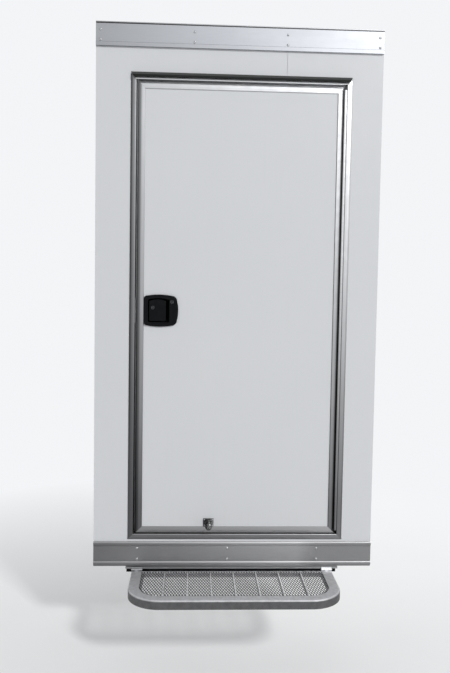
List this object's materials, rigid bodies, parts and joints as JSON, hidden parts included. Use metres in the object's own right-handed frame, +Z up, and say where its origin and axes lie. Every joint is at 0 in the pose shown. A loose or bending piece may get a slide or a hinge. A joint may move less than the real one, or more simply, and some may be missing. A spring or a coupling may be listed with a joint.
{
  "type": "trailer escape door",
  "caption": "Full-height escape door in its own section of trailer side wall, with hinge, recessed latch, drip cap, hold-back plunger and a fold-up step with an expanded-metal tread.",
  "frame": {"origin": "on the back face of the bottom rail, at its lower row of screws, below the middle of the door frame", "axes": "+X to the right as seen from outside, +Y into the trailer, +Z up"},
  "size_m": [1.2572, 0.3855, 2.453],
  "materials": {
    "outer_sheet": "pre-painted aluminium sheet, glossy off-white",
    "wall_frame": "mill-finish tube",
    "lining": "white faced panel, satin",
    "rail": "extruded, brushed satin",
    "cap": "soft black extrusion",
    "frame": "extruded, satin",
    "trim": "extruded, satin",
    "hinge": "bright rolled sheet",
    "plated": "zinc plated",
    "core": "rigid foam",
    "latch": "fine-grained black",
    "holdback": "cast and turned",
    "step": "bright, bead-blasted",
    "step_hinge": "mill finish",
    "tread": "expanded sheet, mill finish"
  },
  "bodies": {
    "wall": {"skin_left": "outer_sheet", "skin_right": "outer_sheet", "skin_over_left": "outer_sheet", "skin_over_right": "outer_sheet", "skin_sill": "outer_sheet", "wall_posts": "wall_frame", "wall_plates": "wall_frame", "lining_sides": "lining", "lining_ends": "lining", "top_rail": "rail", "roof_edge": "rail", "bottom_rail": "rail", "drip_cap": "cap", "frame_left": "frame", "frame_right": "frame", "frame_head": "frame", "frame_sill": "frame", "inner_ring": "frame", "door_seal": "cap", "hinge_fixed_plate": "hinge", "hinge_pin": "plated", "strike_plate": "plated", "step_mount_bar": "rail", "step_hinge_lugs": "step_hinge", "step_hinge_pins": "plated"},
    "leaf": {"leaf_trim_left": "trim", "leaf_trim_right": "trim", "leaf_trim_top": "trim", "leaf_trim_bottom": "trim", "outer_panel": "outer_sheet", "leaf_core": "core", "inner_panel": "lining", "hinge_moving_plate": "hinge", "latch_housing": "latch", "latch_bolt": "plated", "inside_handle": "latch", "holdback_base": "holdback", "holdback_plunger": "holdback"},
    "paddle": {"latch_paddle": "latch"},
    "paddle_lock": {"paddle_plug": "plated"},
    "bolt_lock": {"bolt_plug": "plated"},
    "step": {"step_arm_left": "step", "step_arm_right": "step", "step_nosing": "step", "step_hinge_plates": "step_hinge", "tread_bars": "tread", "tread_rear_bar": "step", "tread_mesh_left": "tread", "tread_mesh_right": "tread"}
  },
  "joints": [
    {"name": "leaf_swing", "type": "hinge", "parent": "wall", "child": "leaf", "pos_m": [0.454, -0.0085, 1.1165], "axis": [0, 0, 1], "range_deg": [0, 170]},
    {"name": "paddle_pull", "type": "hinge", "parent": "leaf", "child": "paddle", "pos_m": [-0.393, -0.007, 1.1215], "axis": [0, 0, -1], "range_deg": [0, 30], "stiffness_Nm_per_rad": 0.5},
    {"name": "paddle_lock_turn", "type": "hinge", "parent": "paddle", "child": "paddle_lock", "pos_m": [-0.381, 0, 1.133], "axis": [0, 1, 0], "range_deg": [0, 90]},
    {"name": "bolt_lock_turn", "type": "hinge", "parent": "leaf", "child": "bolt_lock", "pos_m": [-0.297, 0, 1.159], "axis": [0, 1, 0], "range_deg": [0, 90]},
    {"name": "step_fold", "type": "hinge", "parent": "wall", "child": "step", "pos_m": [-0.0115, -0.017, -0.045], "axis": [1, 0, 0], "range_deg": [-78, 0]}
  ]
}
